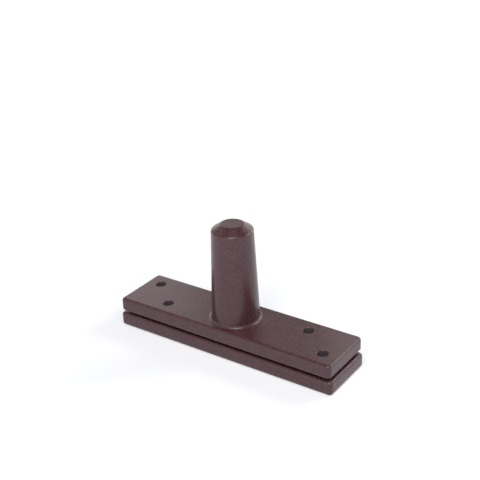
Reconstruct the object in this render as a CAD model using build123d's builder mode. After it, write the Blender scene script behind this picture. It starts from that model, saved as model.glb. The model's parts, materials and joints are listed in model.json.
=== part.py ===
from build123d import *
import math
import os

# Bottom pivot unit for a centre-hung door. The floor plate is screwed to the floor and carries
# a round spindle. The door plate is screwed under the door, and its tapered post is a socket
# that drops over the spindle and turns on two bushes and a thrust ball bearing.
# Millimetres, +X along the plates, +Z up, origin in the middle of the floor plate's underside.

# Plates
plate_length = 150.0
plate_thickness = 8.85
plate_gap = 1.5
plate_ledge = 4.25
plate_corner = 2.4
plate_rounding = 1.9
floor_overhang = 1.0

# Screw holes: two staggered rows, with a countersink on the side that faces the gap
screw_bore = 6.5
screw_head = 12.6
screw_sink_angle = 90.0
screw_outer_inset = 10.4
screw_inner_inset = 29.8
screw_edge_inset = 10.4
screw_deburr = 0.3

# Tapered post on the door plate
post_height = 61.4
post_nose = 3.7
post_disc = 13.6
post_rim_wall = 3.9
post_cover = 0.55
post_end_wall = 6.5
post_foot = 2.0
post_rim_rounding = 1.3
post_disc_rounding = 2.0

# Spindle
spindle_diameter = 15.0
spindle_shoulder = 1.5
spindle_swage = 1.6
spindle_sink = 0.2
spindle_lead = 1.5
spindle_lead_length = 2.6
spindle_centre = 3.0
spindle_vent = 1.1
spindle_top_gap = 2.0

# Wrapped bushes
bush_wall = 1.0
bush_length = 15.0
bush_seam = 0.3
bush_chamfer = 0.4
bush_setback = 0.8

# Thrust ball bearing
ball_diameter = 4.76
ball_web = 0.8
race_web = 2.07
race_depth = 0.75
race_fit = 0.525
race_land = 1.215
race_step = 0.5
race_chamfer = 0.4
cage_side = 0.4

# Dust ring around the bearing
ring_width = 1.2
ring_seat = 1.0
ring_bevel = 0.4

# Clearances
running_clearance = 0.03
ball_clearance = 0.05
cage_clearance = 0.45
cage_side_clearance = 0.27
washer_slack = 0.1
ring_side_clearance = 0.3
ring_lip_clearance = 0.1
socket_drill_angle = 118.0
bearing_register = 1.0
socket_chamfer = 0.5

# Heights, worked out from the values above
floor_top = plate_thickness
door_bottom = floor_top + plate_gap
door_top = door_bottom + plate_thickness
post_top = door_top + post_height
rim_height = post_top - post_nose
bearing_bottom = floor_top - bearing_register
bearing_top = bearing_bottom + ball_diameter + 2 * (race_web + ball_clearance)
ball_height = (bearing_bottom + bearing_top) / 2

# Radii of the bearing, from the spindle outwards
spindle_radius = spindle_diameter / 2
bush_radius = spindle_radius + bush_wall
race_radius = race_fit * ball_diameter
race_half_width = math.sqrt(race_radius**2 - (race_radius - race_depth) ** 2)
pitch_radius = spindle_radius + race_step + race_land + race_half_width
pocket_radius = ball_diameter / 2 + ball_clearance
cage_half_width = pocket_radius + cage_side
recess_radius = pitch_radius + cage_half_width + cage_side_clearance
washer_radius = recess_radius - washer_slack
ring_inner_radius = washer_radius + ring_side_clearance
ring_outer_radius = ring_inner_radius + ring_width
ball_count = math.floor(math.tau * pitch_radius / (2 * pocket_radius + ball_web))

# The post covers the bearing, and a ledge of plate shows beside the post
post_base_radius = washer_radius + post_cover
post_rim_radius = bush_radius + post_rim_wall
plate_width = 2 * (post_base_radius + plate_ledge)
foot_radius = min(post_foot, 0.95 * (plate_ledge - plate_rounding))

# Socket and spindle heights, from the closed end of the post downwards
socket_tip = post_top - post_end_wall
socket_shoulder = socket_tip - bush_radius / math.tan(math.radians(socket_drill_angle / 2))
spindle_top = socket_shoulder - spindle_top_gap
upper_bush_bottom = spindle_top - spindle_lead_length - bush_setback - bush_length
lower_bush_bottom = bearing_top + bush_setback

screw_x_outer = plate_length / 2 - screw_outer_inset
screw_x_inner = plate_length / 2 - screw_inner_inset
screw_y = plate_width / 2 - screw_edge_inset
screw_places = [
    (-screw_x_outer, screw_y),
    (-screw_x_inner, -screw_y),
    (screw_x_inner, screw_y),
    (screw_x_outer, -screw_y),
]

# Working planes that look down, for holes drilled from below. Their y axis is turned over,
# so places on them have the sign of y changed.
floor_underside = Plane(origin=(0, 0, 0), x_dir=(1, 0, 0), z_dir=(0, 0, -1))
door_underside = Plane(origin=(0, 0, door_bottom), x_dir=(1, 0, 0), z_dir=(0, 0, -1))
screw_places_from_below = [(x, -y) for x, y in screw_places]


def outline_edges(plate):
    """The edges around the top and the bottom face of a plain plate."""
    flat_faces = plate.faces().filter_by(Axis.Z).sort_by(Axis.Z)
    return flat_faces[0].edges() + flat_faces[-1].edges()


def circles_at(piece, height, radius):
    """The circular edges of one radius that lie at one height."""
    circles = piece.edges().filter_by(GeomType.CIRCLE)
    level = circles.filter_by(lambda edge: abs(edge.center().Z - height) < 0.001)
    return level.filter_by(lambda edge: abs(edge.radius - radius) < 0.001)


# Floor plate: a bar with all its edges rounded off, a little longer than the door plate
with BuildPart() as floor_plate:
    with BuildSketch():
        RectangleRounded(plate_length + 2 * floor_overhang, plate_width, plate_corner)
    extrude(amount=plate_thickness)
    fillet(outline_edges(floor_plate), plate_rounding)
    with Locations((0, 0, floor_top)):
        CounterBoreHole(
            radius=spindle_radius - spindle_shoulder,
            counter_bore_radius=recess_radius,
            counter_bore_depth=bearing_register,
        )
    with Locations(floor_underside):
        CounterSinkHole(
            radius=spindle_radius - spindle_shoulder,
            counter_sink_radius=spindle_radius - spindle_shoulder + spindle_swage,
            counter_sink_angle=90,
        )
    with Locations(*[(x, y, floor_top) for x, y in screw_places]):
        CounterSinkHole(
            radius=screw_bore / 2,
            counter_sink_radius=screw_head / 2,
            counter_sink_angle=screw_sink_angle,
        )
    chamfer(circles_at(floor_plate, 0, screw_bore / 2), screw_deburr)

floor_plate.part.label = "floor_plate"


# Door plate: the same bar with the tapered post cast on, and the socket bored from below
with BuildPart() as door_plate:
    with BuildSketch(Plane.XY.offset(door_bottom)):
        RectangleRounded(plate_length, plate_width, plate_corner)
    extrude(amount=plate_thickness)
    fillet(outline_edges(door_plate), plate_rounding)

    with BuildSketch(Plane.XZ):
        with BuildLine():
            Polyline(
                (0, door_bottom + plate_thickness / 2),
                (post_base_radius, door_bottom + plate_thickness / 2),
                (post_base_radius, door_top),
                (post_rim_radius, rim_height),
                (post_disc / 2, post_top),
                (0, post_top),
                close=True,
            )
        make_face()
    revolve(axis=Axis.Z)
    fillet(circles_at(door_plate, post_top, post_disc / 2), post_disc_rounding)
    fillet(circles_at(door_plate, rim_height, post_rim_radius), post_rim_rounding)
    fillet(circles_at(door_plate, door_top, post_base_radius), foot_radius)

    with BuildSketch(Plane.XZ):
        with BuildLine():
            Polyline(
                (0, door_bottom),
                (ring_outer_radius, door_bottom),
                (ring_outer_radius, door_bottom + ring_seat),
                (recess_radius, door_bottom + ring_seat),
                (recess_radius, bearing_top),
                (bush_radius + socket_chamfer, bearing_top),
                (bush_radius, bearing_top + socket_chamfer),
                (bush_radius, socket_shoulder),
                (0, socket_tip),
                close=True,
            )
        make_face()
    revolve(axis=Axis.Z, mode=Mode.SUBTRACT)

    with Locations(door_underside):
        with Locations(*screw_places_from_below):
            CounterSinkHole(
                radius=screw_bore / 2,
                counter_sink_radius=screw_head / 2,
                counter_sink_angle=screw_sink_angle,
            )
    chamfer(circles_at(door_plate, door_top, screw_bore / 2), screw_deburr)

door_plate.part.label = "door_plate"


# Spindle: its thin root goes through the floor plate and is swaged out in the countersink
# below. A centre drilling is left in its top, and a groove down its side lets air and grease
# out of the closed socket.
with BuildPart() as spindle:
    root_radius = spindle_radius - spindle_shoulder
    shaft_radius = spindle_radius - running_clearance
    with BuildSketch(Plane.XZ):
        with BuildLine():
            Polyline(
                (0, spindle_sink),
                (root_radius + spindle_swage - spindle_sink, spindle_sink),
                (root_radius, spindle_swage),
                (root_radius, bearing_bottom),
                (shaft_radius, bearing_bottom),
                (shaft_radius, spindle_top - spindle_lead_length),
                (shaft_radius - spindle_lead, spindle_top),
                (spindle_centre / 2, spindle_top),
                (0, spindle_top - spindle_centre / 2 * math.sqrt(3)),
                close=True,
            )
        make_face()
    revolve(axis=Axis.Z)
    with BuildSketch(Plane.XY.offset(spindle_top)):
        with Locations((shaft_radius, 0)):
            Circle(spindle_vent)
    extrude(amount=bearing_top - spindle_top, mode=Mode.SUBTRACT)

spindle.part.label = "spindle"


def thrust_washer(back, facing, bore_radius):
    """One race of the bearing: its back at a height, its grooved face up (1) or down (-1)."""
    face = back + facing * (race_web + race_depth)
    with BuildPart() as washer:
        with BuildSketch(Plane.XZ):
            with BuildLine():
                ThreePointArc(
                    (pitch_radius - race_half_width, face),
                    (pitch_radius, face - facing * race_depth),
                    (pitch_radius + race_half_width, face),
                )
                Polyline(
                    (pitch_radius + race_half_width, face),
                    (washer_radius, face),
                    (washer_radius, back),
                    (bore_radius, back),
                    (bore_radius, face),
                    (pitch_radius - race_half_width, face),
                )
            make_face()
        revolve(axis=Axis.Z)
        corners = circles_at(washer, back, bore_radius) + circles_at(washer, back, washer_radius)
        chamfer(corners + circles_at(washer, face, washer_radius), race_chamfer)
    return washer


thrust_washer_lower = thrust_washer(bearing_bottom, 1, spindle_radius)
thrust_washer_lower.part.label = "thrust_washer_lower"

thrust_washer_upper = thrust_washer(bearing_top, -1, spindle_radius + race_step)
thrust_washer_upper.part.label = "thrust_washer_upper"


# Ball cage: a flat ring between the races, hollowed by a round pocket that holds each ball
with BuildPart() as ball_cage:
    face_gap = ball_diameter + 2 * ball_clearance - 2 * race_depth
    cage_thickness = face_gap - 2 * cage_clearance
    with BuildSketch(Plane.XY.offset(ball_height - cage_thickness / 2)):
        Circle(pitch_radius + cage_half_width)
        Circle(pitch_radius - cage_half_width, mode=Mode.SUBTRACT)
    extrude(amount=cage_thickness)
    with Locations((0, 0, ball_height)):
        with PolarLocations(pitch_radius, ball_count):
            Sphere(pocket_radius, mode=Mode.SUBTRACT)

ball_cage.part.label = "ball_cage"


def thrust_ball(number):
    """The ball in one pocket of the cage, counted from the +X axis."""
    with BuildPart() as ball:
        with Locations((0, 0, ball_height)):
            with PolarLocations(pitch_radius, 1, start_angle=360 * number / ball_count):
                Sphere(ball_diameter / 2)
    return ball


# Dust ring: pressed into its seat in the door plate, its bevelled lip just off the floor plate
with BuildPart() as dust_ring:
    lip_height = floor_top + ring_lip_clearance
    with BuildSketch(Plane.XZ):
        with BuildLine():
            Polyline(
                (ring_inner_radius, lip_height),
                (ring_outer_radius - ring_bevel, lip_height),
                (ring_outer_radius, lip_height + ring_bevel),
                (ring_outer_radius, door_bottom + ring_seat),
                (ring_inner_radius, door_bottom + ring_seat),
                close=True,
            )
        make_face()
    revolve(axis=Axis.Z)

dust_ring.part.label = "dust_ring"


def wrapped_bush(bottom):
    """A bush rolled from strip, with its open seam, standing on a height inside the socket."""
    with BuildPart() as bush:
        with BuildSketch(Plane.XY.offset(bottom)):
            Circle(bush_radius)
            Circle(spindle_radius, mode=Mode.SUBTRACT)
        extrude(amount=bush_length)
        for end in (bottom, bottom + bush_length):
            chamfer(circles_at(bush, end, bush_radius), bush_chamfer)
        with Locations((0, spindle_radius + bush_wall / 2, bottom + bush_length / 2)):
            Box(bush_seam, 2 * bush_wall, bush_length, mode=Mode.SUBTRACT)
    return bush


lower_bush = wrapped_bush(lower_bush_bottom)
lower_bush.part.label = "lower_bush"

upper_bush = wrapped_bush(upper_bush_bottom)
upper_bush.part.label = "upper_bush"


# One STEP file for each piece
os.makedirs("parts", exist_ok=True)
export_step(floor_plate.part, "parts/floor_plate.step")
export_step(door_plate.part, "parts/door_plate.step")
export_step(spindle.part, "parts/spindle.step")
export_step(thrust_washer_lower.part, "parts/thrust_washer_lower.step")
export_step(thrust_washer_upper.part, "parts/thrust_washer_upper.step")
export_step(ball_cage.part, "parts/ball_cage.step")
export_step(dust_ring.part, "parts/dust_ring.step")
export_step(lower_bush.part, "parts/lower_bush.step")
export_step(upper_bush.part, "parts/upper_bush.step")
for number in range(ball_count):
    ball = thrust_ball(number)
    ball.part.label = f"thrust_ball_{number + 1:02d}"
    export_step(ball.part, f"parts/{ball.part.label}.step")

print(f"plates {plate_length:.1f} x {plate_width:.2f}, post top {post_top:.2f}, {ball_count} balls")
print(f"socket {bearing_top:.2f} to {socket_tip:.2f}, spindle top {spindle_top:.2f}")
print(f"screw rows at x {screw_x_inner:.2f} and {screw_x_outer:.2f}, y {screw_y:.2f}")
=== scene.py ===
"""Looks of the bottom unit of a door pivot: its finishes, a plain studio and the camera.

Two bars lie one over the other with a narrow gap between them. The upper one carries a tapered
post that is the socket of the pivot. Both have a dark brown powder coat. The spindle, bushes and
bearing inside are bare metal. Lengths are metres unless a name ends in _mm.
"""

import json
import logging
import math
from dataclasses import dataclass, field

import bpy
from mathutils import Matrix, Vector


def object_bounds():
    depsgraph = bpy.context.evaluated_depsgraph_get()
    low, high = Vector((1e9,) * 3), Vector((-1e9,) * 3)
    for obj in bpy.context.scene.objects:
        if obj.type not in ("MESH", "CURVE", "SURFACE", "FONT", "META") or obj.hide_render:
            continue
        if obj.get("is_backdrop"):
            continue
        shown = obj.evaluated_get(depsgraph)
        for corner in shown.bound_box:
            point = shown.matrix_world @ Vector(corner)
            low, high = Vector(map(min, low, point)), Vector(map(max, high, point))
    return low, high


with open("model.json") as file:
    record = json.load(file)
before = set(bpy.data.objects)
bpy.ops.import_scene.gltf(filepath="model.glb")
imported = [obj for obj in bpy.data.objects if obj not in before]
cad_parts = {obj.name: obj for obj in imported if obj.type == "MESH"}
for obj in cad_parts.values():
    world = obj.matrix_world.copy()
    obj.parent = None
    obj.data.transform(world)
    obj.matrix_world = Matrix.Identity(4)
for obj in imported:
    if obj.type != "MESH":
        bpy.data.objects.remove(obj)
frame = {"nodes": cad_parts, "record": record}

LOG = logging.getLogger("door_pivot")
MM = 0.001
WHITE = "#FFFFFF"

# The sRGB curve is a straight line up to the knee, and a power above it.
SRGB_KNEE = 0.04045
SRGB_SLOPE = 12.92
SRGB_OFFSET = 0.055
SRGB_POWER = 2.4


def linear(code: str) -> tuple[float, float, float, float]:
    """Turns an sRGB hex colour into the linear colour that a shader takes.

    Args:
        code: Six hex digits, with or without a leading hash.

    Returns:
        Red, green, blue and an alpha of 1.
    """
    digits = code.lstrip("#")
    light = []
    for start in (0, 2, 4):
        level = int(digits[start : start + 2], 16) / 255
        if level <= SRGB_KNEE:
            light.append(level / SRGB_SLOPE)
        else:
            light.append(((level + SRGB_OFFSET) / (1 + SRGB_OFFSET)) ** SRGB_POWER)
    return (light[0], light[1], light[2], 1.0)


def outward(azimuth_deg: float, elevation_deg: float) -> Vector:
    """Gives the direction from the object to something that stands around it.

    Args:
        azimuth_deg: The angle around the object: 0 is in front, along -Y, and +X is at 90.
        elevation_deg: The angle above the floor.

    Returns:
        The direction, as a vector of length 1.
    """
    azimuth = math.radians(azimuth_deg)
    elevation = math.radians(elevation_deg)
    return Vector(
        (
            math.sin(azimuth) * math.cos(elevation),
            -math.cos(azimuth) * math.cos(elevation),
            math.sin(elevation),
        )
    )


def add_node(
    tree: bpy.types.NodeTree,
    kind: str,
    values: dict[int | str, object] | None = None,
    links: dict[int | str, bpy.types.NodeSocket] | None = None,
    **settings: object,
) -> bpy.types.Node:
    """Adds a node to a tree, with its settings, its constant inputs and its links.

    Args:
        tree: The node tree of a material or of the world.
        kind: Blender's name for the type of node.
        values: Constants for inputs, by the input's name or number.
        links: Output sockets of other nodes, by the name or number of the input they feed.
        settings: Properties of the node itself.

    Returns:
        The new node.
    """
    node = tree.nodes.new(kind)
    for name, value in settings.items():
        setattr(node, name, value)
    for key, value in (values or {}).items():
        node.inputs[key].default_value = value
    for key, socket in (links or {}).items():
        tree.links.new(socket, node.inputs[key])
    return node


def from_axis(tree: bpy.types.NodeTree, parts: bpy.types.Node) -> bpy.types.NodeSocket:
    """Adds nodes that give a place's distance from the pivot axis.

    Args:
        tree: The material's node tree.
        parts: The node with the place's X, Y and Z.

    Returns:
        The socket with the distance, in metres.
    """
    flat = add_node(
        tree, "ShaderNodeCombineXYZ", links={"X": parts.outputs["X"], "Y": parts.outputs["Y"]},
    )
    distance = add_node(
        tree, "ShaderNodeVectorMath", links={0: flat.outputs["Vector"]}, operation="LENGTH",
    )
    return distance.outputs["Value"]


def new_material(name: str) -> bpy.types.Material:
    """Makes an empty node material.

    Args:
        name: What the material is, in plain words.

    Returns:
        The material, with no nodes in it.
    """
    material = bpy.data.materials.new(name)
    material.use_nodes = True
    material.node_tree.nodes.clear()
    return material


def put_on(material: bpy.types.Material, nodes: list[str]) -> None:
    """Gives pieces of the frame one material.

    Args:
        material: The finish.
        nodes: Names of the pieces that take it.
    """
    for name in nodes:
        for slot in frame["nodes"][name].material_slots:
            slot.material = material
        LOG.info("%s is finished in %s", name, material.name)


@dataclass(frozen=True)
class Pattern:
    """An uneven pattern in a surface, by the width of its features.

    Each finer layer is half as wide as the one before it, and fineness is its strength as a
    share of that one's.
    """

    size_mm: float
    finer_layers: float = 2.0
    fineness: float = 0.5

    def inputs(self) -> dict[str, float]:
        """Gives the constants of a noise texture that draws it on Object coordinates."""
        return {
            "Scale": 1.0 / (self.size_mm * MM),
            "Detail": self.finer_layers,
            "Roughness": self.fineness,
        }


@dataclass(frozen=True)
class ScrewPattern:
    """Where the screw holes are: two rows, the front one the back one turned half a turn."""

    row_middle: tuple[float, float]
    half_spacing: float
    bore_radius: float

    @classmethod
    def from_record(cls) -> "ScrewPattern":
        """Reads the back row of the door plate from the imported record.

        Returns:
            The pattern, in metres.
        """
        rows = {mount["name"]: mount for mount in frame["record"]["mounts"]}
        row = rows["door_screws_back_row"]
        return cls(
            row_middle=(row["pos_m"][0], row["pos_m"][1]),
            half_spacing=row["dims"]["spacing_x_mm"] / 2 * MM,
            bore_radius=row["dims"]["hole_r_mm"] * MM,
        )


@dataclass(frozen=True)
class PowderCoat:
    """Polyester powder coat, sprayed dry and baked: a satin skin that flows but never levels.

    It gives the eye a soft wide gloss, broken by a shallow orange peel and a finer grain, and a
    colour that shifts a little where the coat is thicker. The powder hardly reaches into the
    screw holes, so the grey primer shows there. The bearing's seat and the socket are bored
    after coating, so they are bare steel.
    """

    name: str = "brown_powder_coat"
    colour: str = "#4A2B30"
    thin_colour: str = "#513135"
    thick_colour: str = "#43272C"
    primer_colour: str = "#54474F"
    steel_colour: str = "#A9A6A2"
    roughness: float = 0.29
    roughness_spread: float = 0.07
    primer_roughness: float = 0.6
    steel_roughness: float = 0.35
    ior: float = 1.5
    peel: Pattern = Pattern(size_mm=1.9, finer_layers=1.0, fineness=0.4)
    peel_depth_mm: float = 0.035
    # The real grain is about 0.2 mm wide. It is drawn coarser, or the picture would lose it.
    grain: Pattern = Pattern(size_mm=0.9)
    grain_depth_mm: float = 0.030
    # The colour follows a mix of both patterns: wide clouds, and a finer mottle over them.
    cloud: Pattern = Pattern(size_mm=9.0)
    mottle: Pattern = Pattern(size_mm=1.4, finer_layers=3.0, fineness=0.6)
    mottle_share: float = 0.7
    # Levels of that mix at which the coat has its thick, its usual and its thin colour.
    thick_level: float = 0.38
    usual_level: float = 0.5
    thin_level: float = 0.62
    # Levels of the mottle at which the coat is glossiest and dullest.
    glossiest_level: float = 0.3
    dullest_level: float = 0.7
    # The primer's mask is this much wider than a bore, so that the bore's wall lies inside it.
    bore_margin: float = 1.01
    # The bored seat and socket, up to 0.1 mm large, so that their walls lie inside the mask.
    seat_radius_mm: float = 15.6
    seat_top_mm: float = 16.9
    socket_radius_mm: float = 9.1
    socket_top_mm: float = 74.2

    def in_screw_hole(
        self, tree: bpy.types.NodeTree, parts: bpy.types.Node
    ) -> bpy.types.NodeSocket:
        """Adds a mask that is 1 in the bores of the screw holes.

        Turning the front half of the plates half a turn lays its holes on those of the back
        half. Folding the row about its middle then lays its two holes on one.

        Args:
            tree: The coat's node tree.
            parts: The node with the place's X, Y and Z.

        Returns:
            The mask's socket.
        """
        screws = ScrewPattern.from_record()
        side = add_node(
            tree, "ShaderNodeMath", links={0: parts.outputs["Y"]}, operation="SIGN",
        )
        turned = add_node(
            tree, "ShaderNodeMath", links={0: parts.outputs["X"], 1: side.outputs[0]},
            operation="MULTIPLY",
        )
        along = add_node(
            tree, "ShaderNodeMath", {1: screws.row_middle[0]}, {0: turned.outputs[0]},
            operation="SUBTRACT",
        )
        folded = add_node(
            tree, "ShaderNodeMath", links={0: along.outputs[0]}, operation="ABSOLUTE",
        )
        x_away = add_node(
            tree, "ShaderNodeMath", {1: screws.half_spacing}, {0: folded.outputs[0]},
            operation="SUBTRACT",
        )
        across = add_node(
            tree, "ShaderNodeMath", links={0: parts.outputs["Y"]}, operation="ABSOLUTE",
        )
        y_away = add_node(
            tree, "ShaderNodeMath", {1: screws.row_middle[1]}, {0: across.outputs[0]},
            operation="SUBTRACT",
        )
        place = add_node(
            tree, "ShaderNodeCombineXYZ", links={"X": x_away.outputs[0], "Y": y_away.outputs[0]},
        )
        away = add_node(
            tree, "ShaderNodeVectorMath", links={0: place.outputs["Vector"]}, operation="LENGTH",
        )
        inside = add_node(
            tree, "ShaderNodeMath", {1: screws.bore_radius * self.bore_margin},
            {0: away.outputs["Value"]}, operation="LESS_THAN",
        )
        return inside.outputs[0]

    def on_bored_seat(
        self, tree: bpy.types.NodeTree, parts: bpy.types.Node
    ) -> bpy.types.NodeSocket:
        """Adds a mask that is 1 on the bearing's seat and in the socket.

        Args:
            tree: The coat's node tree.
            parts: The node with the place's X, Y and Z.

        Returns:
            The mask's socket.
        """
        radius = from_axis(tree, parts)
        masks = []
        for widest_mm, highest_mm in (
            (self.seat_radius_mm, self.seat_top_mm),
            (self.socket_radius_mm, self.socket_top_mm),
        ):
            near = add_node(
                tree, "ShaderNodeMath", {1: widest_mm * MM}, {0: radius}, operation="LESS_THAN",
            )
            low = add_node(
                tree, "ShaderNodeMath", {1: highest_mm * MM}, {0: parts.outputs["Z"]},
                operation="LESS_THAN",
            )
            both = add_node(
                tree, "ShaderNodeMath", links={0: near.outputs[0], 1: low.outputs[0]},
                operation="MULTIPLY",
            )
            masks.append(both.outputs[0])
        either = add_node(
            tree, "ShaderNodeMath", links={0: masks[0], 1: masks[1]}, operation="MAXIMUM",
        )
        return either.outputs[0]

    def colour_and_gloss(
        self, tree: bpy.types.NodeTree, place: bpy.types.NodeSocket
    ) -> tuple[bpy.types.NodeSocket, bpy.types.NodeSocket]:
        """Adds the coat's own colour and roughness, which change with its thickness.

        Args:
            tree: The coat's node tree.
            place: The socket with the Object coordinates.

        Returns:
            The socket with the colour, and the socket with the roughness.
        """
        cloud = add_node(tree, "ShaderNodeTexNoise", self.cloud.inputs(), {"Vector": place})
        mottle = add_node(tree, "ShaderNodeTexNoise", self.mottle.inputs(), {"Vector": place})
        mixed = add_node(
            tree, "ShaderNodeMix", {"Factor": self.mottle_share},
            {"A": cloud.outputs["Fac"], "B": mottle.outputs["Fac"]}, data_type="FLOAT",
        )
        ramp = add_node(tree, "ShaderNodeValToRGB", links={"Fac": mixed.outputs["Result"]})
        thick, thin = ramp.color_ramp.elements
        thick.position = self.thick_level
        thick.color = linear(self.thick_colour)
        thin.position = self.thin_level
        thin.color = linear(self.thin_colour)
        usual = ramp.color_ramp.elements.new(self.usual_level)
        usual.color = linear(self.colour)
        gloss = add_node(
            tree, "ShaderNodeMapRange",
            {
                "From Min": self.glossiest_level,
                "From Max": self.dullest_level,
                "To Min": self.roughness - self.roughness_spread,
                "To Max": self.roughness + self.roughness_spread,
            },
            {"Value": mottle.outputs["Fac"]},
        )
        return ramp.outputs["Color"], gloss.outputs["Result"]

    def relief(
        self, tree: bpy.types.NodeTree, place: bpy.types.NodeSocket
    ) -> bpy.types.NodeSocket:
        """Adds the orange peel, with the finer grain on top of it.

        Args:
            tree: The coat's node tree.
            place: The socket with the Object coordinates.

        Returns:
            The socket with the bumped normal.
        """
        normal = None
        for pattern, depth_mm in (
            (self.peel, self.peel_depth_mm),
            (self.grain, self.grain_depth_mm),
        ):
            height = add_node(tree, "ShaderNodeTexNoise", pattern.inputs(), {"Vector": place})
            links = {"Height": height.outputs["Fac"]}
            if normal is not None:
                links["Normal"] = normal
            bump = add_node(
                tree, "ShaderNodeBump", {"Strength": 1.0, "Distance": depth_mm * MM}, links,
            )
            normal = bump.outputs["Normal"]
        return normal

    def build(self) -> bpy.types.Material:
        """Makes the material.

        Returns:
            The powder coat, with the primer and the bare steel where it is missing.
        """
        material = new_material(self.name)
        tree = material.node_tree
        place = add_node(tree, "ShaderNodeTexCoord").outputs["Object"]
        parts = add_node(tree, "ShaderNodeSeparateXYZ", links={"Vector": place})
        colour, roughness = self.colour_and_gloss(tree, place)
        normal = self.relief(tree, place)
        hole = self.in_screw_hole(tree, parts)
        seat = self.on_bored_seat(tree, parts)
        for mask, bare_colour, bare_roughness in (
            (hole, self.primer_colour, self.primer_roughness),
            (seat, self.steel_colour, self.steel_roughness),
        ):
            mixed_colour = add_node(
                tree, "ShaderNodeMix", {"B": linear(bare_colour)},
                {"Factor": mask, "A": colour}, data_type="RGBA",
            )
            mixed_roughness = add_node(
                tree, "ShaderNodeMix", {"B": bare_roughness},
                {"Factor": mask, "A": roughness}, data_type="FLOAT",
            )
            colour = mixed_colour.outputs["Result"]
            roughness = mixed_roughness.outputs["Result"]
        shader = add_node(
            tree, "ShaderNodeBsdfPrincipled", {"IOR": self.ior},
            {"Base Color": colour, "Metallic": seat, "Roughness": roughness, "Normal": normal},
        )
        add_node(tree, "ShaderNodeOutputMaterial", links={"Surface": shader.outputs["BSDF"]})
        return material


@dataclass(frozen=True)
class TurnedMetal:
    """Metal finished on a lathe, a cylindrical grinder or a rolling mill.

    It gives the eye fine rings around the pivot axis that stretch each highlight across them,
    and soft patches where it is duller.
    """

    name: str
    colour: str
    dull_colour: str
    roughness: float
    rings: Pattern
    ring_depth_mm: float
    patches: Pattern = Pattern(size_mm=4.0, finer_layers=3.0, fineness=0.6)
    # Levels of the patches at which the metal has its dull and its bright colour.
    dull_level: float = 0.35
    bright_level: float = 0.6
    # The roughness of the dullest and of the brightest metal, as shares of the usual one.
    dullest_share: float = 1.35
    brightest_share: float = 0.75

    def build(self) -> bpy.types.Material:
        """Makes the material.

        Returns:
            The metal.
        """
        material = new_material(self.name)
        tree = material.node_tree
        place = add_node(tree, "ShaderNodeTexCoord").outputs["Object"]
        parts = add_node(tree, "ShaderNodeSeparateXYZ", links={"Vector": place})
        ring_place = add_node(
            tree, "ShaderNodeCombineXYZ",
            links={"X": from_axis(tree, parts), "Y": parts.outputs["Z"]},
        )
        rings = add_node(
            tree, "ShaderNodeTexNoise", self.rings.inputs(),
            {"Vector": ring_place.outputs["Vector"]},
        )
        patches = add_node(tree, "ShaderNodeTexNoise", self.patches.inputs(), {"Vector": place})
        ramp = add_node(tree, "ShaderNodeValToRGB", links={"Fac": patches.outputs["Fac"]})
        dull, bright = ramp.color_ramp.elements
        dull.position = self.dull_level
        dull.color = linear(self.dull_colour)
        bright.position = self.bright_level
        bright.color = linear(self.colour)
        gloss = add_node(
            tree, "ShaderNodeMapRange",
            {
                "To Min": self.roughness * self.dullest_share,
                "To Max": self.roughness * self.brightest_share,
            },
            {"Value": patches.outputs["Fac"]},
        )
        bump = add_node(
            tree, "ShaderNodeBump", {"Strength": 1.0, "Distance": self.ring_depth_mm * MM},
            {"Height": rings.outputs["Fac"]},
        )
        shader = add_node(
            tree, "ShaderNodeBsdfPrincipled", {"Metallic": 1.0},
            {
                "Base Color": ramp.outputs["Color"],
                "Roughness": gloss.outputs["Result"],
                "Normal": bump.outputs["Normal"],
            },
        )
        add_node(tree, "ShaderNodeOutputMaterial", links={"Surface": shader.outputs["BSDF"]})
        return material


@dataclass(frozen=True)
class SealRubber:
    """Nitrile rubber, moulded.

    It gives the eye a matt black with a faint bloom and a fine mould grain.
    """

    name: str = "moulded_nitrile_rubber"
    colour: str = "#1B1B1C"
    bloom_colour: str = "#2A2A2B"
    roughness: float = 0.62
    bloom: Pattern = Pattern(size_mm=3.0, finer_layers=3.0)
    grain: Pattern = Pattern(size_mm=0.3)
    grain_depth_mm: float = 0.005

    def build(self) -> bpy.types.Material:
        """Makes the material.

        Returns:
            The rubber.
        """
        material = new_material(self.name)
        tree = material.node_tree
        place = add_node(tree, "ShaderNodeTexCoord").outputs["Object"]
        bloom = add_node(tree, "ShaderNodeTexNoise", self.bloom.inputs(), {"Vector": place})
        ramp = add_node(tree, "ShaderNodeValToRGB", links={"Fac": bloom.outputs["Fac"]})
        plain, bloomed = ramp.color_ramp.elements
        plain.color = linear(self.colour)
        bloomed.color = linear(self.bloom_colour)
        grain = add_node(tree, "ShaderNodeTexNoise", self.grain.inputs(), {"Vector": place})
        bump = add_node(
            tree, "ShaderNodeBump", {"Strength": 1.0, "Distance": self.grain_depth_mm * MM},
            {"Height": grain.outputs["Fac"]},
        )
        shader = add_node(
            tree, "ShaderNodeBsdfPrincipled", {"Roughness": self.roughness},
            {"Base Color": ramp.outputs["Color"], "Normal": bump.outputs["Normal"]},
        )
        add_node(tree, "ShaderNodeOutputMaterial", links={"Surface": shader.outputs["BSDF"]})
        return material


@dataclass
class CoatedPlates:
    """The two coated pieces that show: the floor plate, and the door plate with its post."""

    nodes: list[str] = field(default_factory=lambda: ["floor_plate", "door_plate"])
    coat: PowderCoat = PowderCoat()

    def dress(self) -> None:
        """Coats both plates."""
        put_on(self.coat.build(), self.nodes)


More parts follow.
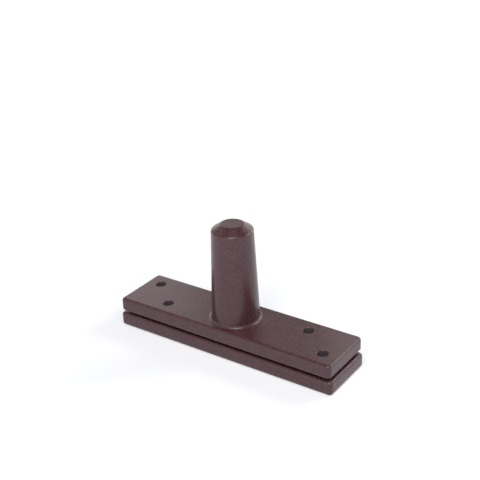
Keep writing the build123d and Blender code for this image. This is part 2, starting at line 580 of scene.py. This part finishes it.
@dataclass
class Spindle:
    """The pin that stands in the floor plate, ground on its side and swaged over below."""

    nodes: list[str] = field(default_factory=lambda: ["spindle"])
    # It gives the eye a bright grey with a soft sheen along the pin. Real grinding marks are
    # about 0.05 mm apart. They are drawn coarser, to show close up.
    steel: TurnedMetal = TurnedMetal(
        name="ground_hardened_steel",
        colour="#B9B7B2",
        dull_colour="#8E8B87",
        roughness=0.30,
        rings=Pattern(size_mm=0.25, fineness=0.6),
        ring_depth_mm=0.004,
    )

    def dress(self) -> None:
        """Gives the spindle its ground steel."""
        put_on(self.steel.build(), self.nodes)


@dataclass
class ThrustBearing:
    """The thrust ball bearing between the plates: two races, a caged ring of balls, a seal."""

    races: list[str] = field(
        default_factory=lambda: ["thrust_washer_lower", "thrust_washer_upper"]
    )
    cage: str = "ball_cage"
    ball_prefix: str = "thrust_ball_"
    seal: str = "dust_ring"
    # It gives the eye a nearly mirror-bright grey. Real polishing marks are finer than
    # 0.05 mm. They are drawn coarser, to show close up.
    steel: TurnedMetal = TurnedMetal(
        name="polished_bearing_steel",
        colour="#CFCDC8",
        dull_colour="#B4B2AE",
        roughness=0.16,
        rings=Pattern(size_mm=0.12, fineness=0.6),
        ring_depth_mm=0.001,
    )
    # It gives the eye a warm yellow with the rings that the turning tool left.
    brass: TurnedMetal = TurnedMetal(
        name="machined_brass",
        colour="#C9A45C",
        dull_colour="#A7803F",
        roughness=0.30,
        rings=Pattern(size_mm=0.3, fineness=0.6),
        ring_depth_mm=0.004,
    )
    rubber: SealRubber = SealRubber()

    def balls(self) -> list[str]:
        """Names the balls in the frame, in their order around the cage."""
        return sorted(name for name in frame["nodes"] if name.startswith(self.ball_prefix))

    def dress(self) -> None:
        """Gives each piece of the bearing its finish."""
        put_on(self.steel.build(), self.races + self.balls())
        put_on(self.brass.build(), [self.cage])
        put_on(self.rubber.build(), [self.seal])


@dataclass
class Bushes:
    """The two wrapped bushes in the post."""

    nodes: list[str] = field(default_factory=lambda: ["lower_bush", "upper_bush"])
    # It gives the eye a dull reddish gold with faint lines along the rolled strip.
    bronze: TurnedMetal = TurnedMetal(
        name="rolled_bronze_strip",
        colour="#B98A5A",
        dull_colour="#8F6640",
        roughness=0.38,
        rings=Pattern(size_mm=0.4, fineness=0.6),
        ring_depth_mm=0.003,
    )

    def dress(self) -> None:
        """Gives the bushes their bronze."""
        put_on(self.bronze.build(), self.nodes)


@dataclass(frozen=True)
class PhotoCamera:
    """The camera at the photograph's viewing angle.

    Azimuth 0 looks along +Y, and a positive azimuth moves the camera towards +X. The aim offsets
    say how far right of and above the pivot's base the middle of the picture lies, measured
    square to the view.
    """

    azimuth_deg: float = 35.624
    elevation_deg: float = 25.928
    roll_deg: float = 2.35
    distance_mm: float = 577.77
    aim_right_mm: float = 1.606
    aim_up_mm: float = 62.92
    lens_mm: float = 71.33
    sensor_mm: float = 36.0
    nearest: float = 0.01
    farthest: float = 20.0

    def build(self) -> bpy.types.Object:
        """Makes the camera and hands it to the scene.

        Returns:
            The camera object.
        """
        back = outward(self.azimuth_deg, self.elevation_deg)
        level_right = Vector((0, 0, 1)).cross(back).normalized()
        level_up = back.cross(level_right)
        roll = Matrix.Rotation(math.radians(self.roll_deg), 3, back)
        right = roll.inverted() @ level_right
        up = roll.inverted() @ level_up
        offset = right * self.aim_right_mm + up * self.aim_up_mm + back * self.distance_mm
        turn = Matrix((right, up, back)).transposed().to_4x4()
        bpy.ops.object.camera_add()
        camera = bpy.context.object
        camera.name = "photo_camera"
        camera.matrix_world = Matrix.Translation(offset * MM) @ turn
        camera.data.sensor_width = self.sensor_mm
        camera.data.lens = self.lens_mm
        camera.data.clip_start = self.nearest
        camera.data.clip_end = self.farthest
        bpy.context.scene.camera = camera
        return camera


@dataclass(frozen=True)
class Softbox:
    """One lamp of the studio: a rectangular light panel that faces the object.

    Azimuth and elevation are where it stands, seen from the object, counted as the camera's are.
    """

    name: str
    azimuth_deg: float
    elevation_deg: float
    power_w: float
    distance: float = 1.0
    width: float = 0.45
    height: float = 0.45
    colour: str = WHITE

    def build(self, target: Vector) -> bpy.types.Object:
        """Makes the lamp.

        Args:
            target: The point that the panel faces.

        Returns:
            The lamp object.
        """
        away = outward(self.azimuth_deg, self.elevation_deg)
        bpy.ops.object.light_add(type="AREA", location=target + away * self.distance)
        lamp = bpy.context.object
        lamp.name = self.name
        lamp.rotation_mode = "QUATERNION"
        lamp.rotation_quaternion = away.to_track_quat("Z", "Y")
        lamp.data.shape = "RECTANGLE"
        lamp.data.size = self.width
        lamp.data.size_y = self.height
        lamp.data.energy = self.power_w
        lamp.data.color = linear(self.colour)[:3]
        return lamp


@dataclass
class Studio:
    """A white floor, a white surround and the lamps.

    The floor sends light on as floor_colour does. Where it is looked at, it has shadow_colour
    and a glow that makes it white, but for a weaker glow around the object.
    """

    floor_size: float = 6.0
    floor_colour: str = "#EEF1F8"
    shadow_colour: str = "#D4D5DA"
    near_glow: float = 0.405
    far_glow: float = 1.0
    near_radius: float = 0.13
    far_radius: float = 0.38
    world_strength: float = 0.18
    # Sines of the elevations between which the white surround darkens to the ceiling.
    ceiling_from: float = 0.0
    ceiling_to: float = 1.0
    wall_brightness: float = 1.0
    ceiling_brightness: float = 0.1
    lamps: list[Softbox] = field(
        default_factory=lambda: [
            Softbox("top_lamp", azimuth_deg=33.0, elevation_deg=66.0, power_w=3.25),
            Softbox(
                "key_lamp", azimuth_deg=21.0, elevation_deg=45.0, power_w=3.3,
                width=0.60, height=0.28,
            ),
            Softbox(
                "second_key_lamp", azimuth_deg=54.0, elevation_deg=43.0, power_w=0.9,
                height=0.30,
            ),
            Softbox("front_left_lamp", azimuth_deg=-12.0, elevation_deg=10.0, power_w=0.65),
            Softbox(
                "right_lamp", azimuth_deg=132.0, elevation_deg=10.0, power_w=0.92,
                colour="#E6EEFF",
            ),
            Softbox(
                "back_right_lamp", azimuth_deg=145.0, elevation_deg=38.0, power_w=2.0,
                width=0.25, height=0.25,
            ),
            Softbox("back_lamp", azimuth_deg=165.0, elevation_deg=12.0, power_w=1.3),
            Softbox("left_lamp", azimuth_deg=-126.0, elevation_deg=21.0, power_w=0.62),
            Softbox(
                "high_left_lamp", azimuth_deg=-62.0, elevation_deg=47.0, power_w=0.6,
                width=0.65,
            ),
            Softbox(
                "near_back_lamp", azimuth_deg=179.0, elevation_deg=31.5, power_w=0.036,
                distance=0.235, width=0.10, height=0.10,
            ),
        ]
    )

    def seen_directly(self, tree: bpy.types.NodeTree) -> bpy.types.NodeSocket:
        """Adds nodes that give 1 for what the camera, gloss and glass see, and 0 otherwise.

        Args:
            tree: The tree of the floor's material or of the world.

        Returns:
            The socket with that value.
        """
        path = add_node(tree, "ShaderNodeLightPath")
        camera_or_gloss = add_node(
            tree, "ShaderNodeMath", operation="MAXIMUM",
            links={0: path.outputs["Is Camera Ray"], 1: path.outputs["Is Glossy Ray"]},
        )
        any_of_three = add_node(
            tree, "ShaderNodeMath", operation="MAXIMUM",
            links={0: camera_or_gloss.outputs[0], 1: path.outputs["Is Transmission Ray"]},
        )
        return any_of_three.outputs[0]

    def floor_material(self) -> bpy.types.Material:
        """Makes the floor's paper: pale for the light it sends on, white where it is looked at.

        Around the object it glows a little less, which leaves room for the object's shadow.

        Returns:
            The material.
        """
        material = new_material("white_paper_sweep")
        tree = material.node_tree
        paper = add_node(tree, "ShaderNodeBsdfDiffuse", {"Color": linear(self.floor_colour)})
        shade = add_node(tree, "ShaderNodeBsdfDiffuse", {"Color": linear(self.shadow_colour)})
        place = add_node(tree, "ShaderNodeTexCoord").outputs["Object"]
        away = add_node(tree, "ShaderNodeVectorMath", links={0: place}, operation="LENGTH")
        strength = add_node(
            tree, "ShaderNodeMapRange",
            {
                "From Min": self.near_radius,
                "From Max": self.far_radius,
                "To Min": self.near_glow,
                "To Max": self.far_glow,
            },
            {"Value": away.outputs["Value"]}, interpolation_type="SMOOTHSTEP",
        )
        glow = add_node(
            tree, "ShaderNodeEmission", {"Color": linear(WHITE)},
            {"Strength": strength.outputs["Result"]},
        )
        shown = add_node(
            tree, "ShaderNodeAddShader", links={0: shade.outputs["BSDF"], 1: glow.outputs[0]},
        )
        either = add_node(
            tree, "ShaderNodeMixShader",
            links={0: self.seen_directly(tree), 1: paper.outputs["BSDF"], 2: shown.outputs[0]},
        )
        add_node(tree, "ShaderNodeOutputMaterial", links={"Surface": either.outputs[0]})
        return material

    def build_floor(self) -> bpy.types.Object:
        """Lays the floor under the object.

        Returns:
            The floor, marked as stage.
        """
        bpy.ops.mesh.primitive_plane_add(size=self.floor_size, location=(0, 0, 0))
        floor = bpy.context.object
        floor.name = "studio_floor"
        floor.data.materials.append(self.floor_material())
        floor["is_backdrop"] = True
        return floor

    def build_world(self) -> None:
        """Surrounds the scene with even light.

        Gloss mirrors white walls under a grey ceiling, and the camera sees plain white.
        """
        world = bpy.data.worlds.new("white_surround")
        bpy.context.scene.world = world
        world.use_nodes = True
        tree = world.node_tree
        tree.nodes.clear()
        light = add_node(
            tree, "ShaderNodeBackground",
            {"Color": linear(WHITE), "Strength": self.world_strength},
        )
        direction = add_node(tree, "ShaderNodeTexCoord").outputs["Generated"]
        parts = add_node(tree, "ShaderNodeSeparateXYZ", links={"Vector": direction})
        ceiling = add_node(
            tree, "ShaderNodeMapRange",
            {
                "From Min": self.ceiling_from,
                "From Max": self.ceiling_to,
                "To Min": self.wall_brightness,
                "To Max": self.ceiling_brightness,
            },
            {"Value": parts.outputs["Z"]}, interpolation_type="SMOOTHSTEP",
        )
        path = add_node(tree, "ShaderNodeLightPath")
        brightness = add_node(
            tree, "ShaderNodeMath", operation="MAXIMUM",
            links={0: ceiling.outputs["Result"], 1: path.outputs["Is Camera Ray"]},
        )
        shown = add_node(
            tree, "ShaderNodeBackground", {"Color": linear(WHITE)},
            {"Strength": brightness.outputs[0]},
        )
        either = add_node(
            tree, "ShaderNodeMixShader",
            links={0: self.seen_directly(tree), 1: light.outputs[0], 2: shown.outputs[0]},
        )
        add_node(tree, "ShaderNodeOutputWorld", links={"Surface": either.outputs[0]})

    def build(self, low: Vector, high: Vector) -> None:
        """Makes the floor, the surround and the lamps.

        Args:
            low: Lowest corner of the object.
            high: Highest corner of the object.
        """
        self.build_floor()
        self.build_world()
        middle = (low + high) / 2
        for lamp in self.lamps:
            lamp.build(middle)
            LOG.info("%s stands %.2f m away", lamp.name, lamp.distance)


def main() -> None:
    """Dresses the pivot, and builds the studio and the camera."""
    logging.basicConfig(level=logging.INFO, format="%(message)s")
    cad_low, cad_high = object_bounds()
    for group in (CoatedPlates(), Spindle(), ThrustBearing(), Bushes()):
        group.dress()
    Studio().build(cad_low, cad_high)
    PhotoCamera().build()
    scene = bpy.context.scene
    scene.view_settings.view_transform = "Standard"


if __name__ == "__main__":
    main()
